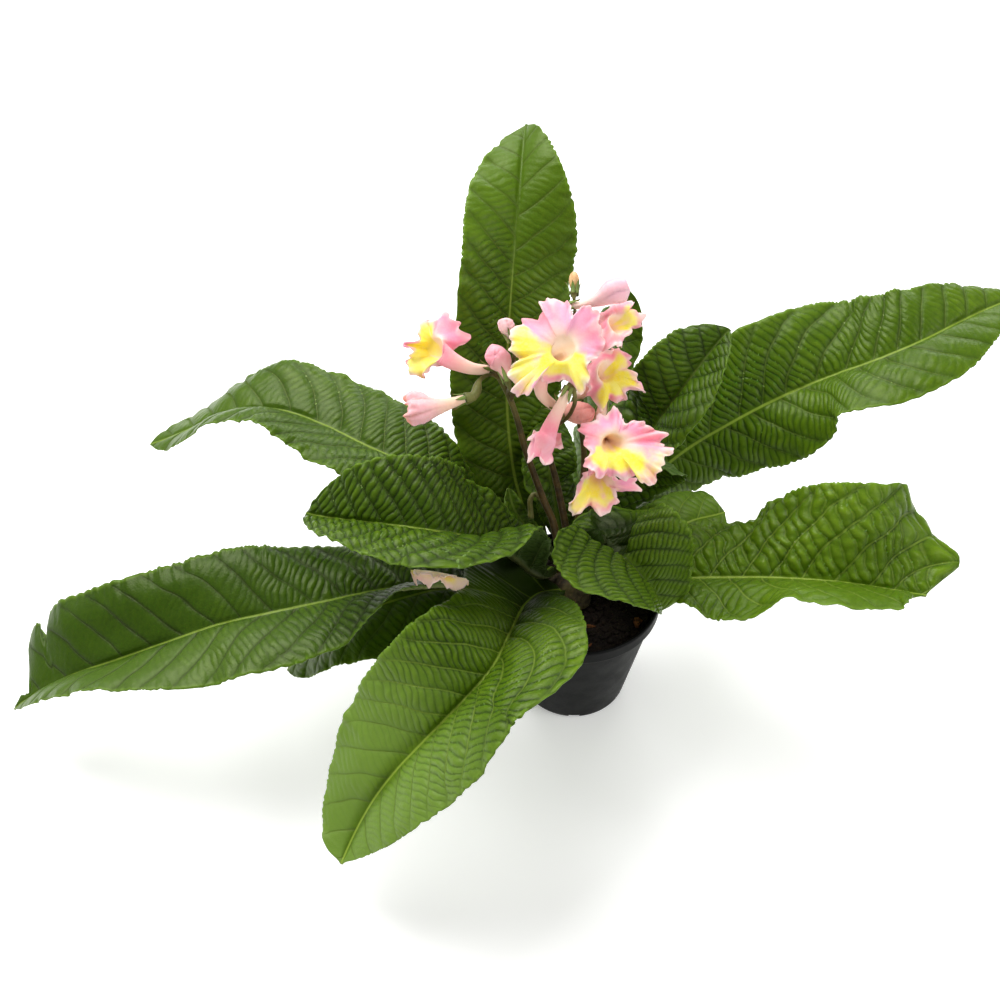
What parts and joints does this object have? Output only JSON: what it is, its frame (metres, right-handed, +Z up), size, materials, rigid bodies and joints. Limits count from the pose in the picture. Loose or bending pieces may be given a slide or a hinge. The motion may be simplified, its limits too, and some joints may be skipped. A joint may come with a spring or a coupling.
{
  "type": "potted cape primrose",
  "caption": "Flowering cape primrose in a round plastic nursery pot: long strap-shaped quilted leaves spreading from a low crown, and slim stalks carrying pink and yellow trumpet flowers.",
  "frame": {"origin": "centre of the underside of the pot's foot, on the surface it stands on", "axes": "+Z up, the pot's axis; +X to the viewer's right; +Y away from the viewer, seen from the side that shows the most flowers"},
  "size_m": [0.6338, 0.3782, 0.303],
  "materials": {
    "pot": "moulded plastic, satin with a fine grain",
    "soil": "damp peat with bits of bark, rough",
    "crown": "short rough stem, matt",
    "leaf": "quilted leaf blade with soft hairs, satin",
    "stalk": "thin downy stalk, matt",
    "petal": "thin petal, soft sheen",
    "wilted": "dry creased petal, matt"
  },
  "bodies": {
    "root": {"pot": "pot", "soil": "soil", "crown": "crown", "leaf_back": "leaf", "leaf_upper_right": "leaf", "leaf_right_mid": "leaf", "leaf_rear": "leaf", "leaf_centre": "leaf", "leaf_behind_right": "leaf", "leaf_lower_right": "leaf", "leaf_front_small": "leaf", "leaf_inner": "leaf", "leaf_front": "leaf", "leaf_under_left": "leaf", "leaf_lower_left": "leaf", "leaf_left_mid": "leaf", "leaf_upper_left": "leaf", "leaf_curled": "leaf", "stalk_left": "stalk", "stalk_centre": "stalk", "stalk_right": "stalk", "stalk_low": "stalk", "corolla_main": "petal", "corolla_left": "petal", "corolla_low_right": "petal", "corolla_lowest": "petal", "corolla_top_right": "petal", "corolla_right": "petal", "corolla_drooping": "petal", "bud_low_left": "petal", "bud_mid": "petal", "bud_pale": "petal", "bud_top": "petal", "bud_salmon": "petal", "bud_tan": "petal", "wilted_flower": "wilted"}
  },
  "joints": []
}
